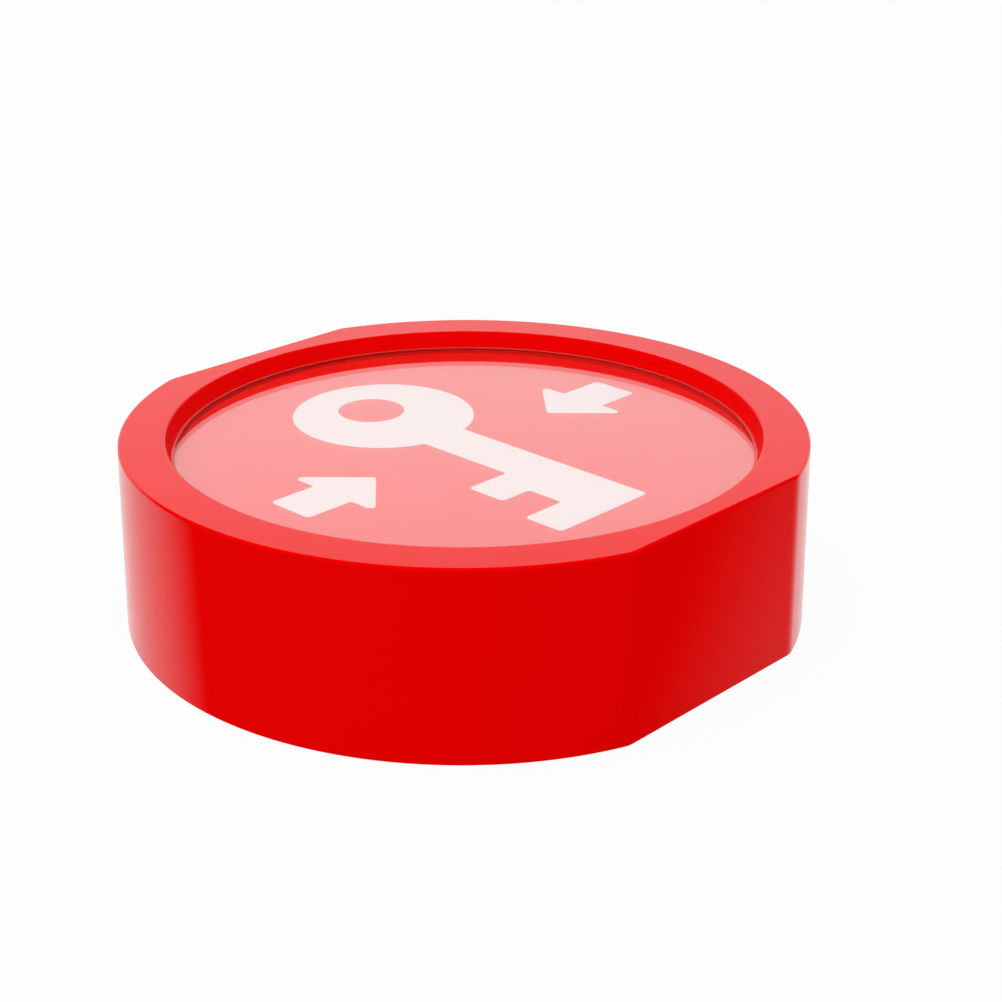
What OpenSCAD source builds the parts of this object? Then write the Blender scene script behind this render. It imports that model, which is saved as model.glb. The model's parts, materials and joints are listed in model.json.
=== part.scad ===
// Break glass key box: a round, flat-sided cover with a glass front, which lifts off a wall plate
// that carries the key hook. Millimetres. The origin is the centre of the back, where the box meets
// the wall; +Z points out of the wall, +Y is up on the wall and +X is to the right.

/* [Case] */
// Height of the case on the wall, along its two flats
case_h = 110; // [110:0.5:116]
// Width of the case across its two flats
case_w = 103; // [103:0.5:108]
// Depth of the case from the wall to its front face
case_d = 30; // [28:0.5:40]
// How much the moulded sides lean in from the back to the front, on the radius
draft = 0.5; // [0:0.1:0.7]
// Thickness of the cover's side wall at the back edge
wall_t = 2.4; // [2.2:0.1:2.4]
// Bevel on the outer edges of the cover
edge_bevel = 0.4; // [0.2:0.1:0.6]

/* [Window] */
// Radius of the opening at the front face
opening_r = 47.2; // [46.8:0.1:48]
// Radius of the opening at the back of the flange
lip_r = 46.4; // [46.2:0.1:46.8]
// Thickness of the front flange
flange_t = 2.6; // [2.2:0.1:3]
// Thickness of the seal between flange and pane
seal_t = 0.3; // [0.2:0.1:0.6]
// Inner radius of the seal, which shows past the flange
seal_in_r = 46; // [45.5:0.1:46.2]
// Radius of the pane, the seal and the label card
pane_r = 48.8; // [48.6:0.1:48.9]
// Thickness of the glass pane
pane_t = 1.5; // [1:0.5:3]
// Thickness of the label card
card_t = 0.5; // [0.4:0.1:1]
// Thickness of the ring that holds the pane and the card in
retainer_t = 2; // [1.5:0.5:2.5]

/* [Wall plate] */
// Thickness of the wall plate's floor
floor_t = 2.5; // [2:0.1:2.8]
// Height of the plate's rim above the wall
rim_h = 12; // [10:0.5:13]
// Distance between the two wall screws
wall_screw_pitch = 60; // [50:1:64]
// Radius of a wall screw hole
wall_hole_r = 2.25; // [2:0.05:2.6]

/* [Key hook] */
// Height of the hook's two screws above the middle of the plate
hook_y = 24; // [18:1:27]
// Width of the hook's tongue
hook_w = 7; // [5:0.5:9]
// Distance from the back of the foot to the front of the upturned tip
hook_out = 11.5; // [9:0.5:13]
// Height of the upturned tip above the bottom of the hook
hook_tip_h = 8.5; // [6:0.5:10]

/* [Lock] */
// Radius of the lock screw over its thread
lock_r = 1.95; // [1.9:0.01:1.98]
// Length of the lock screw
lock_l = 6; // [5:0.5:6]
// Width across the flats of the lock screw's hex socket
socket_af = 2; // [1.5:0.1:2.2]

/* [Hidden] */
$fn = 128;
cut = 1;

// Outer size of the case
case_r = case_h / 2;
flat_x = case_w / 2;

// Heights of the stack behind the front flange, each the back face of its piece
flange_z = case_d - flange_t;
seal_z = flange_z - seal_t;
pane_z = seal_z - pane_t;
card_z = pane_z - card_t;
retainer_z = card_z - retainer_t;

// Room inside the cover, and the wall plate that fills its back
cavity_r = case_r - wall_t;
cavity_x = flat_x - wall_t;
plate_gap = 0.3;
plate_r = cavity_r - plate_gap;
plate_x = cavity_x - plate_gap;
rim_t = 1.8;
pocket_r = pane_r + 0.2;
retainer_in_r = 45;
opening_slope = (opening_r - lip_r) / flange_t;

// Cored slots in the thick ring of the cover, on either side of the two arcs' middles
core_in_r = pocket_r + 1.3;
core_out_r = case_r - draft - 1.5;
core_ceiling = 1.9;
core_angle = 32;
core_starts = [55, 93, 235, 273];

// Retainer screws, thread-forming with pan heads
retainer_screw_r = 0.9;
retainer_screw_l = 5;
retainer_hole_spare = 0.5;
retainer_head_r = 1.7;
retainer_head_h = 1.2;
retainer_pitch_r = cavity_r - retainer_head_r - 0.15;
retainer_first_angle = 45;
retainer_step = 90;

// Lock: a threaded insert in a boss on the left flat, and the post that the screw's tip bears on
lock_z = 7;
boss_r = 4.1;
insert_r = 2.8;
insert_l = 4.5;
insert_bore_r = lock_r + 0.05;
lock_hole_r = 2.2;
boss_face_x = insert_l - cavity_x;
post_x = boss_face_x + 0.6;
post_t = 4;
post_w = 12;
gusset_t = 2;
gusset_l = 6;
tip_gap = 0.05;
tip_bevel = 0.4;
socket_depth = 2.4;
boss_notch_w = 2 * boss_r + 2;

// Pads under the wall screws and the hook's foot, a stiffening ring and an arrow that points up
pad_r = 6;
pad_h = 1;
hook_pad_r = 4;
hook_pad_h = 2;
rib_r = 40;
rib_t = 1.5;
rib_h = 1;
arrow_y = 30;
arrow_h = 0.5;

// Hook: a strip with two bends on a foot with two screws
hook_pitch = 16;
hook_t = 1.5;
hook_bend_r = 1.5;
foot_w = 24;
foot_l = 8;
foot_corner_r = 1.5;
foot_z = floor_t + hook_pad_h;
hook_bottom_y = hook_y - foot_l / 2 - hook_bend_r - hook_t;
hook_arm_l = foot_l + hook_bend_r + hook_t;
hook_screw_r = 1.4;
hook_screw_l = 5;
hook_hole_spare = 0.4;
hook_head_r = 2.7;
hook_head_h = 1.8;

// A round disc with two opposite flats at x = half_x and -half_x
module flatted_disc(r, half_x, z, h) {
    intersection() {
        translate([0, 0, z]) cylinder(r = r, h = h);
        translate([-half_x, -r - cut, z - cut]) cube([2 * half_x, 2 * (r + cut), h + 2 * cut]);
    }
}

// Profile of a drafted side with a bevel at both ends, from the axis out to half_w
module side_profile(half_w) {
    polygon([[0, 0], [half_w - edge_bevel / 2, 0], [half_w, edge_bevel / 2],
        [half_w - draft, case_d - edge_bevel], [half_w - draft - edge_bevel, case_d], [0, case_d]]);
}

// The cover's outside: a drafted round body cut by the two drafted flats
module cover_outside() {
    intersection() {
        rotate_extrude() side_profile(case_r);
        rotate([90, 0, 0]) translate([0, 0, -case_r - cut]) linear_extrude(2 * (case_r + cut)) {
            side_profile(flat_x);
            mirror([1, 0]) side_profile(flat_x);
        }
    }
}

// A flat ring
module ring(outer_r, inner_r, z, h) {
    difference() {
        translate([0, 0, z]) cylinder(r = outer_r, h = h);
        translate([0, 0, z - cut]) cylinder(r = inner_r, h = h + 2 * cut);
    }
}

// Places its children at each retainer screw
module at_retainer_screw(index) {
    rotate([0, 0, retainer_first_angle + retainer_step * index])
        translate([retainer_pitch_r, 0, 0]) children();
}

// Red moulded cover: side wall, front flange, pocket for the pane and the boss of the lock
module front_cover() {
    color("#d90707") difference() {
        union() {
            difference() {
                cover_outside();
                flatted_disc(cavity_r, cavity_x, -cut, card_z + cut);
                translate([0, 0, card_z - cut]) cylinder(r = pocket_r, h = flange_z - card_z + cut);
                translate([0, 0, card_z]) cylinder(r = lip_r, h = case_d - card_z + cut);
                translate([0, 0, flange_z])
                    cylinder(r1 = lip_r, r2 = opening_r + opening_slope * cut, h = flange_t + cut);
            }
            translate([-cavity_x - wall_t / 2, 0, lock_z]) rotate([0, 90, 0])
                cylinder(r = boss_r, h = cavity_x + wall_t / 2 + boss_face_x);
        }
        for (start = core_starts) translate([0, 0, card_z - cut]) rotate([0, 0, start])
            rotate_extrude(angle = core_angle) translate([core_in_r, 0])
                square([core_out_r - core_in_r, case_d - core_ceiling - card_z + cut]);
        for (i = [0:3]) at_retainer_screw(i) translate([0, 0, card_z - cut])
            cylinder(r = retainer_screw_r, h = retainer_screw_l - retainer_t + retainer_hole_spare + cut);
        translate([-flat_x - cut, 0, lock_z]) rotate([0, 90, 0])
            cylinder(r = lock_hole_r, h = wall_t + 2 * cut);
        translate([-cavity_x, 0, lock_z]) rotate([0, 90, 0])
            cylinder(r = insert_r, h = cavity_x + boss_face_x + cut);
    }
}

// Thin clear seal that the flange presses on the pane
module pane_seal() {
    color("#f6c9c4") ring(pane_r, seal_in_r, seal_z, seal_t);
}

// The pane that is broken to reach the key
module glass_pane() {
    color("#e8f4f2", 0.4) translate([0, 0, pane_z]) cylinder(r = pane_r, h = pane_t);
}

// Printed card right behind the pane
module label_card() {
    color("#e8322b") translate([0, 0, card_z]) cylinder(r = pane_r, h = card_t);
}

// Ring that holds the card and the pane against the flange
module retainer_ring() {
    color("#c80a0a") difference() {
        flatted_disc(plate_r, plate_x, retainer_z, retainer_t);
        translate([0, 0, retainer_z - cut]) cylinder(r = retainer_in_r, h = retainer_t + 2 * cut);
        for (i = [0:3]) at_retainer_screw(i) translate([0, 0, retainer_z - cut])
            cylinder(r = retainer_screw_r, h = retainer_t + 2 * cut);
    }
}

// A cross cut in the top of a head that faces +Z
module cross_recess(size, depth) {
    for (turn = [0, 90]) rotate([0, 0, turn])
        translate([-size / 2, -size / 8, -depth]) cube([size, size / 4, depth + cut]);
}

// Pan-head screw: the head stands on z = 0 and the shank goes down
module pan_screw(shank_r, shank_l, head_r, head_h) {
    difference() {
        union() {
            translate([0, 0, -shank_l]) cylinder(r = shank_r, h = shank_l + cut / 2);
            cylinder(r1 = head_r, r2 = head_r * 0.75, h = head_h);
        }
        translate([0, 0, head_h]) cross_recess(head_r * 1.1, head_h * 0.6);
    }
}

// Screw of the retainer ring, driven from the back of the cover
module retainer_screw(index) {
    color("#c9ccd1") at_retainer_screw(index) translate([0, 0, retainer_z]) rotate([180, 0, 0])
        pan_screw(retainer_screw_r, retainer_screw_l, retainer_head_r, retainer_head_h);
}

// Brass insert with the thread of the lock screw
module lock_insert() {
    color("#c8a24a") translate([-cavity_x, 0, lock_z]) rotate([0, 90, 0]) difference() {
        cylinder(r = insert_r, h = cavity_x + boss_face_x);
        translate([0, 0, -cut]) cylinder(r = insert_bore_r, h = cavity_x + boss_face_x + 2 * cut);
    }
}

// Hex-socket set screw, whose flat tip bears on the wall plate's post
module lock_screw() {
    color("#8f9398") translate([post_x - tip_gap, 0, lock_z]) rotate([0, -90, 0]) difference() {
        union() {
            cylinder(r1 = lock_r - tip_bevel, r2 = lock_r, h = tip_bevel);
            translate([0, 0, tip_bevel]) cylinder(r = lock_r, h = lock_l - tip_bevel);
        }
        translate([0, 0, lock_l - socket_depth])
            cylinder(r = socket_af / sqrt(3), h = socket_depth + cut, $fn = 6);
    }
}

// The post of the lock with its two gussets
module lock_post() {
    translate([post_x, -post_w / 2, 0]) cube([post_t, post_w, rim_h]);
    for (side = [-1, 1]) translate([post_x + post_t, side * (post_w - gusset_t) / 2 + gusset_t / 2, 0])
        rotate([90, 0, 0]) linear_extrude(gusset_t)
            polygon([[-1, 0], [gusset_l, 0], [gusset_l, floor_t], [0, rim_h], [-1, rim_h]]);
}

// Moulded plate on the wall: floor, rim, pads, stiffening ring, arrow and the post of the lock
module wall_plate() {
    color("#c80a0a") difference() {
        union() {
            difference() {
                flatted_disc(plate_r, plate_x, 0, rim_h);
                flatted_disc(plate_r - rim_t, plate_x - rim_t, floor_t, rim_h);
                translate([-plate_x - cut, -boss_notch_w / 2, floor_t])
                    cube([rim_t + 2 * cut, boss_notch_w, rim_h]);
            }
            for (side = [-1, 1]) {
                translate([side * wall_screw_pitch / 2, 0, 0]) cylinder(r = pad_r, h = floor_t + pad_h);
                translate([side * hook_pitch / 2, hook_y, 0]) cylinder(r = hook_pad_r, h = foot_z);
            }
            ring(rib_r + rib_t, rib_r, floor_t / 2, floor_t / 2 + rib_h);
            translate([0, -arrow_y, floor_t / 2]) linear_extrude(floor_t / 2 + arrow_h)
                polygon([[0, 5], [5, -1], [1.8, -1], [1.8, -5], [-1.8, -5], [-1.8, -1], [-5, -1]]);
            lock_post();
        }
        for (side = [-1, 1]) {
            translate([side * wall_screw_pitch / 2, 0, -cut])
                cylinder(r = wall_hole_r, h = floor_t + pad_h + 2 * cut);
            translate([side * hook_pitch / 2, hook_y, foot_z + hook_t - hook_screw_l - hook_hole_spare])
                cylinder(r = hook_screw_r, h = hook_screw_l + cut);
        }
    }
}

// A rectangle l long and w wide, with its two corners at x = 0 rounded
module rounded_end(l, w, r) {
    translate([r, 0]) square([l - r, w]);
    translate([0, r]) square([l, w - 2 * r]);
    for (y = [r, w - r]) translate([r, y]) circle(r = r);
}

// Side view of the hook: up the foot along x, out of it along y, round two bends to the tip
module hook_side() {
    difference() {
        rounded_end(hook_arm_l, hook_out, hook_bend_r + hook_t);
        translate([hook_t, hook_t]) rounded_end(hook_arm_l, hook_out - 2 * hook_t, hook_bend_r);
        translate([hook_tip_h, hook_out / 2]) square([hook_arm_l, hook_out]);
    }
}

// Foot of the hook, seen from the front: a plate with four round corners
module foot_outline() {
    inner_w = foot_w - 2 * foot_corner_r;
    inner_l = foot_l - 2 * foot_corner_r;
    square([foot_w, inner_l], center = true);
    square([inner_w, foot_l], center = true);
    for (x = [-inner_w / 2, inner_w / 2], y = [-inner_l / 2, inner_l / 2])
        translate([x, y]) circle(r = foot_corner_r);
}

// Plated steel strip: a foot with two screw holes, and a tongue that a key ring hangs on
module key_hook() {
    color("#c9ccd1") difference() {
        union() {
            translate([0, hook_y, foot_z]) linear_extrude(hook_t) foot_outline();
            translate([-hook_w / 2, hook_bottom_y, foot_z]) rotate([90, 0, 90])
                linear_extrude(hook_w) hook_side();
        }
        for (side = [-1, 1]) translate([side * hook_pitch / 2, hook_y, foot_z - cut])
            cylinder(r = hook_screw_r, h = hook_t + 2 * cut);
    }
}

// Pan-head screw that holds the hook's foot to its pad
module hook_screw(side) {
    color("#c9ccd1") translate([side * hook_pitch / 2, hook_y, foot_z + hook_t])
        pan_screw(hook_screw_r, hook_screw_l, hook_head_r, hook_head_h);
}

front_cover();
pane_seal();
glass_pane();
label_card();
retainer_ring();
retainer_screw(0);  // retainer_screw_1
retainer_screw(1);  // retainer_screw_2
retainer_screw(2);  // retainer_screw_3
retainer_screw(3);  // retainer_screw_4
lock_insert();
lock_screw();
wall_plate();
key_hook();
hook_screw(-1);  // hook_screw_1
hook_screw(1);  // hook_screw_2
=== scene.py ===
"""Looks of the break glass key box: red cover, pane, printed card, lock, wall plate and key hook.

Lengths are written in millimetres and become metres where a mesh is made. The row frame has its
origin at the centre of the back, +Z out through the front, +Y along the two flats, +X across them.
"""

import json
import logging
import math
from dataclasses import dataclass
from enum import Enum
from typing import Any, Mapping, NamedTuple, Sequence

import bmesh
import bpy
from mathutils import Matrix, Vector


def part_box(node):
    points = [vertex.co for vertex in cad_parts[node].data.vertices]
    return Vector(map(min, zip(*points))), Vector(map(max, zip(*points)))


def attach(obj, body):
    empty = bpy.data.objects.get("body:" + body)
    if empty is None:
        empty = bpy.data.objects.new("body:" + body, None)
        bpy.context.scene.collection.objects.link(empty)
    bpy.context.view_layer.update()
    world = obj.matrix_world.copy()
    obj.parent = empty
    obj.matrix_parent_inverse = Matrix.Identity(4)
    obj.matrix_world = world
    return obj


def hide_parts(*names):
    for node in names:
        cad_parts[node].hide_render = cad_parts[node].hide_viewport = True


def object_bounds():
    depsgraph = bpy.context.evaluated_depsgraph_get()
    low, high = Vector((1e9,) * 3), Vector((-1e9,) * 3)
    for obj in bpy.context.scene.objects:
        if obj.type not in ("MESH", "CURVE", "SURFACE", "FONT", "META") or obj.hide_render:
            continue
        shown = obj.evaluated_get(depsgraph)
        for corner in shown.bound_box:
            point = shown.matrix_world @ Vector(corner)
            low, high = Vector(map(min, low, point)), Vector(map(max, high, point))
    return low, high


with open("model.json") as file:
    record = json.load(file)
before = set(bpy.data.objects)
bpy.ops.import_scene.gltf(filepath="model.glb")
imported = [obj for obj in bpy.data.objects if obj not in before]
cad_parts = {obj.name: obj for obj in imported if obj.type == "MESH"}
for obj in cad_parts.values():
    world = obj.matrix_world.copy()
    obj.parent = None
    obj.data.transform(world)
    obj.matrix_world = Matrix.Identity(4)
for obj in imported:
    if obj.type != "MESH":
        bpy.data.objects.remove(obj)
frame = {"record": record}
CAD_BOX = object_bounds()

Piece = bpy.types.Object
Material = bpy.types.Material
Tree = bpy.types.NodeTree
Socket = bpy.types.NodeSocket

LOG = logging.getLogger("key_box")
MM = 0.001

# The photograph's side in pixels, and the width of the camera's sensor
IMAGE_SIDE = 1002
SENSOR = 36.0

# Faces that meet at more than this angle get a sharp edge
SHARP_ANGLE = math.radians(32)
# Points nearer than this, in metres, are merged
DOUBLES = 1e-7
# Gap left between faces that touch, so that neither flickers through the other
SKIN = 0.02
# How far a cutter reaches past what it cuts
SPARE = 1.0
# Distance from a rounded edge to the loop that keeps the face beside it flat
GUARD = 0.06
# Marks a corner of a profile that the case's two flats cut
FLAT = True
# Half-width of a profile point that the flats don't cut
ROUND = 500.0
# Profile points along one turn of a thread
TURN_STEPS = 9
# Span of Layer Weight's Facing over which a gloss that shows at low angles rises, and its full level
GLOSS_RISE = 0.18
FULL_GLOSS = 0.6


class Body(Enum):
    """Bodies of the frame that a piece can ride on."""

    BASE = "base"
    COVER = "cover"
    LOCK = "lock"


class Slot(Enum):
    """Material slots of the record."""

    COVER_ABS = "cover_abs"
    INNER_ABS = "inner_abs"
    CLEAR_SEAL = "clear_seal"
    PANE_GLASS = "pane_glass"
    PRINTED_CARD = "printed_card"
    PLATED_STEEL = "plated_steel"
    INSERT_BRASS = "insert_brass"
    LOCK_STEEL = "lock_steel"


class Cut(Enum):
    """Ways in which one solid is combined with another."""

    REMOVE = "DIFFERENCE"
    JOIN = "UNION"


class Relief(Enum):
    """Patterns pressed into a turned surface: number of starts, and whether a second set crosses them."""

    NONE = (0, False)
    THREAD = (1, False)
    KNURL = (30, True)


def linear(code: str) -> tuple[float, float, float, float]:
    """Turns an sRGB hex colour to linear RGBA.

    Args:
        code: The colour, such as "#d90707".

    Returns:
        Red, green, blue and an alpha of 1.
    """
    parts = [int(code[i : i + 2], 16) / 255 for i in (1, 3, 5)]
    red, green, blue = (c / 12.92 if c <= 0.04045 else ((c + 0.055) / 1.055) ** 2.4 for c in parts)
    return red, green, blue, 1.0


def per_mm(size: float) -> float:
    """Texture scale, per metre, at which one feature is `size` millimetres wide."""
    return 1 / (size * MM)


def add(tree: Tree, kind: str, inputs: Mapping[Any, Any] | None = None, **settings: Any) -> bpy.types.Node:
    """Adds a node to a tree with its settings and links.

    Args:
        tree: The shader or geometry tree.
        kind: The node's type name.
        inputs: Sockets by name or number, with an output to link or a value to set.
        settings: The node's own properties, such as operation="ADD".

    Returns:
        The new node.
    """
    node = tree.nodes.new(kind)
    for name, value in settings.items():
        setattr(node, name, value)
    for socket, value in (inputs or {}).items():
        if isinstance(value, Socket):
            tree.links.new(value, node.inputs[socket])
        else:
            node.inputs[socket].default_value = value
    return node


def box_mm(node: str) -> tuple[Vector, Vector]:
    """Lowest and highest corner of a node of the frame, in millimetres."""
    low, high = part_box(node)
    return low / MM, high / MM


def middle_mm(node: str) -> Vector:
    """Centre of a node's box, in millimetres."""
    low, high = box_mm(node)
    return (low + high) / 2


def spots_mm(nodes: Sequence[str]) -> list[Vector]:
    """Centres of nodes, dropped on the plane of the back."""
    return [Vector((*middle_mm(node).xy, 0)) for node in nodes]


# Finishes


@dataclass(frozen=True)
class Finish:
    """A material: its colour, its shine and the fine structure of its surface.

    Attributes:
        name: The real material's common name.
        colour: sRGB hex colour of the clean surface.
        shade: sRGB hex colour that it drifts to in soft patches.
        roughness: Mean roughness.
        roughness_drift: How far the roughness goes up and down.
        patch: Size of the patches.
        grain: Width of the surface's grain.
        grain_depth: Depth of the grain.
        ior: Index of refraction.
        metallic: 1 for a metal, else 0.
        transmission: Share of light that passes through.
        sheen_tint: sRGB hex colour of a reflection that is seen head-on.
        gloss_from: Layer Weight's Facing below which the surface doesn't shine; 0 for an even gloss.
    """

    name: str
    colour: str
    shade: str
    roughness: float
    roughness_drift: float = 0.03
    patch: float = 20.0
    grain: float = 1.0
    grain_depth: float = 0.0
    ior: float = 1.5
    metallic: float = 0.0
    transmission: float = 0.0
    sheen_tint: str = "#ffffff"
    gloss_from: float = 0.0

    def detail(self, tree: Tree, shader: bpy.types.Node, place: Socket) -> None:
        """Adds what only this finish has; the plain finish adds nothing."""

    def build(self) -> Material:
        """Makes the material.

        Returns:
            A material with patches of colour and shine, and grain as bump.
        """
        material = bpy.data.materials.new(self.name)
        material.use_nodes = True
        tree = material.node_tree
        shader = tree.nodes["Principled BSDF"]
        for socket, value in (("IOR", self.ior), ("Metallic", self.metallic),
                              ("Transmission Weight", self.transmission),
                              ("Specular Tint", linear(self.sheen_tint))):
            shader.inputs[socket].default_value = value
        place = add(tree, "ShaderNodeTexCoord").outputs["Object"]
        patches = add(tree, "ShaderNodeTexNoise", {
            "Vector": place, "Scale": per_mm(self.patch), "Detail": 3.0, "Roughness": 0.55})
        tone = add(tree, "ShaderNodeMix", {
            0: patches.outputs["Fac"], 6: linear(self.colour), 7: linear(self.shade)}, data_type="RGBA")
        tree.links.new(tone.outputs[2], shader.inputs["Base Color"])
        shine = add(tree, "ShaderNodeMapRange", {
            "Value": patches.outputs["Fac"], "From Min": 0.3, "From Max": 0.7,
            "To Min": max(self.roughness - self.roughness_drift, 0.0),
            "To Max": self.roughness + self.roughness_drift})
        tree.links.new(shine.outputs["Result"], shader.inputs["Roughness"])
        if self.grain_depth:
            grain = add(tree, "ShaderNodeTexNoise", {
                "Vector": place, "Scale": per_mm(self.grain), "Detail": 2.0})
            bump = add(tree, "ShaderNodeBump", {
                "Distance": self.grain_depth * MM, "Height": grain.outputs["Fac"]})
            tree.links.new(bump.outputs["Normal"], shader.inputs["Normal"])
        if self.gloss_from:
            facing = add(tree, "ShaderNodeLayerWeight", {"Blend": 0.5})
            gloss = add(tree, "ShaderNodeMapRange", {
                "Value": facing.outputs["Facing"], "From Min": self.gloss_from,
                "From Max": self.gloss_from + GLOSS_RISE, "To Min": 0.0, "To Max": FULL_GLOSS},
                interpolation_type="SMOOTHSTEP")
            tree.links.new(gloss.outputs["Result"], shader.inputs["Specular IOR Level"])
        self.detail(tree, shader, place)
        return material


@dataclass(frozen=True)
class MetalFinish(Finish):
    """A metal: its shine drifts more, over small patches and a fine grain."""

    roughness_drift: float = 0.08
    grain: float = 0.25
    grain_depth: float = 0.003
    metallic: float = 1.0


@dataclass(frozen=True)
class SpeckledFinish(Finish):
    """A surface with a few small specks in it.

    Attributes:
        speck_gap: Mean distance between specks.
        speck: Width of a speck.
        speck_colour: sRGB hex colour of a speck.
    """

    speck_gap: float = 8.0
    speck: float = 0.7
    speck_colour: str = "#7c1c18"

    def detail(self, tree: Tree, shader: bpy.types.Node, place: Socket) -> None:
        """Mixes the specks over the base colour.

        Args:
            tree: The material's tree.
            shader: Its Principled shader.
            place: The coordinates.
        """
        cells = add(tree, "ShaderNodeTexVoronoi", {"Vector": place, "Scale": per_mm(self.speck_gap)})
        spot = add(tree, "ShaderNodeMapRange", {
            "Value": cells.outputs["Distance"], "From Min": self.speck / self.speck_gap / 2,
            "From Max": 0.0, "To Min": 0.0, "To Max": 1.0})
        base = shader.inputs["Base Color"].links[0].from_socket
        specked = add(tree, "ShaderNodeMix", {
            0: spot.outputs["Result"], 6: base, 7: linear(self.speck_colour)}, data_type="RGBA")
        tree.links.new(specked.outputs[2], shader.inputs["Base Color"])


# Injection-moulded ABS with a polished face: a deep even red, soft white reflections at a low angle
GLOSS_ABS = Finish(
    name="abs_moulded_gloss", colour="#f60303", shade="#ee0202", roughness=0.15, patch=45.0, grain=2.2,
    grain_depth=0.003, ior=1.4, sheen_tint="#ff1a12", gloss_from=0.44)
# The same ABS on the wall of the opening, where the mould isn't polished: it stays red at low angles. Its
# red is a little lighter than the gloss ABS's, which is painted light on that wall
SATIN_ABS_PAINTED_LIGHT = Finish(
    name="abs_moulded_satin_painted_light", colour="#fb0303", shade="#f40202", roughness=0.5, patch=45.0, ior=1.08,
    sheen_tint="#ff1a12")
# The same ABS from a spark-eroded mould: the red looks dry and slightly darker
MATT_ABS = Finish(
    name="abs_moulded_matt", colour="#d80a0a", shade="#c90606", roughness=0.5, patch=30.0, grain=0.35,
    grain_depth=0.02, ior=1.4)
# Clear silicone squeezed between red faces: its red base colour is painted light, standing in for the red
# faces seen through it, and only its edges glint pale
SILICONE_PAINTED_RED_LIGHT = Finish(
    name="silicone_clear_painted_red_light", colour="#ff332c", shade="#ff241e", roughness=0.15, patch=3.0, grain=1.5,
    grain_depth=0.02, ior=1.41, transmission=0.3)
# Float glass: clear and colourless, with sharp white reflections
SHEET_GLASS = Finish(
    name="glass_float_sheet", colour="#ffffff", shade="#ffffff", roughness=0.0, roughness_drift=0.0,
    transmission=1.0)
# Coated board, printed flat red: a smooth sheen under the pane, and a slightly uneven ink with specks
COATED_CARD = SpeckledFinish(
    name="card_coated_red", colour="#fc0a06", shade="#f62a22", roughness=0.22, roughness_drift=0.0,
    patch=14.0)
# White screen ink: opaque and a little warmer than paper
SCREEN_INK = Finish(
    name="ink_screen_white", colour="#faebe9", shade="#f7e4e1", roughness=0.3, roughness_drift=0.0,
    patch=6.0)
# Steel with bright zinc plate: cool grey, softly mirror-like with a fine crystal mottle
ZINC_PLATE = MetalFinish(
    name="steel_zinc_plated", colour="#c9cdd3", shade="#b4b9c1", roughness=0.26, patch=1.5, grain=0.3,
    grain_depth=0.002)
# Free-cutting brass as machined: warm yellow with fine tool marks
TURNED_BRASS = MetalFinish(
    name="brass_machined", colour="#cfa94e", shade="#b98f38", roughness=0.28, patch=1.2)
# Hardened steel with black oxide: nearly black, with an oily sheen on the edges
BLACK_OXIDE = MetalFinish(
    name="steel_black_oxide", colour="#4a4c50", shade="#2f3135", roughness=0.38, patch=1.0)


# Meshes


def link(name: str, mesh: bpy.types.Mesh) -> Piece:
    """Puts a mesh in the scene as an object at the origin.

    Args:
        name: The object's name.
        mesh: Its mesh.

    Returns:
        The object.
    """
    piece = bpy.data.objects.new(name, mesh)
    bpy.context.scene.collection.objects.link(piece)
    return piece


def discard(pieces: Sequence[Piece]) -> None:
    """Deletes helper objects with their meshes.

    Args:
        pieces: The objects.
    """
    for piece in pieces:
        mesh = piece.data
        bpy.data.objects.remove(piece)
        bpy.data.meshes.remove(mesh)


def clean(mesh: bpy.types.Mesh) -> None:
    """Merges doubles, drops empty faces and turns every face outwards.

    Args:
        mesh: The mesh.
    """
    work = bmesh.new()
    work.from_mesh(mesh)
    bmesh.ops.remove_doubles(work, verts=work.verts, dist=DOUBLES)
    bmesh.ops.dissolve_degenerate(work, edges=work.edges, dist=DOUBLES)
    bmesh.ops.recalc_face_normals(work, faces=work.faces)
    work.to_mesh(mesh)
    work.free()


def settle(piece: Piece) -> None:
    """Turns a piece with its modifiers into a plain mesh.

    Args:
        piece: The piece.
    """
    graph = bpy.context.evaluated_depsgraph_get()
    mesh = bpy.data.meshes.new_from_object(piece.evaluated_get(graph), depsgraph=graph)
    before = piece.data
    piece.modifiers.clear()
    piece.data = mesh
    bpy.data.meshes.remove(before)
    clean(mesh)


def combine(piece: Piece, how: Cut, tools: Sequence[Piece]) -> None:
    """Joins tools to a piece or cuts them out of it, and deletes them.

    Args:
        piece: The solid that stays.
        how: Whether the tools are joined or removed.
        tools: Closed solids.
    """
    for tool in tools:
        step = piece.modifiers.new(how.name, "BOOLEAN")
        step.operation, step.solver, step.object = how.value, "EXACT", tool
    settle(piece)
    discard(tools)


def soften(piece: Piece, width: float) -> Piece:
    """Rounds a piece's sharp edges.

    Args:
        piece: The solid.
        width: Width of the rounding.

    Returns:
        The same piece.
    """
    bevel = piece.modifiers.new("rounding", "BEVEL")
    bevel.width, bevel.segments = width * MM, 2
    bevel.limit_method, bevel.angle_limit = "ANGLE", SHARP_ANGLE
    bevel.use_clamp_overlap = True
    settle(piece)
    return piece


def fillet(before: Vector, corner: Vector, after: Vector, radius: float, steps: int) -> list[Vector]:
    """Points of a rounded corner in a plane.

    Args:
        before: The point before the corner.
        corner: The corner.
        after: The point after it.
        radius: Radius of the rounding; 0 keeps the corner.
        steps: Number of segments on the arc.

    Returns:
        The points, from the side of `before` to the side of `after`.
    """
    if not radius:
        return [corner]
    back, ahead = (before - corner).normalized(), (after - corner).normalized()
    half = back.angle(ahead) / 2
    reach = radius / math.tan(half)
    centre = corner + (back + ahead).normalized() * (radius / math.sin(half))
    start, end = corner + back * reach - centre, corner + ahead * reach - centre
    first = math.atan2(start.y, start.x)
    sweep = (math.atan2(end.y, end.x) - first + math.pi) % math.tau - math.pi
    angles = [first + sweep * i / steps for i in range(steps + 1)]
    return [centre + Vector((math.cos(a), math.sin(a))) * radius for a in angles]


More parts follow.
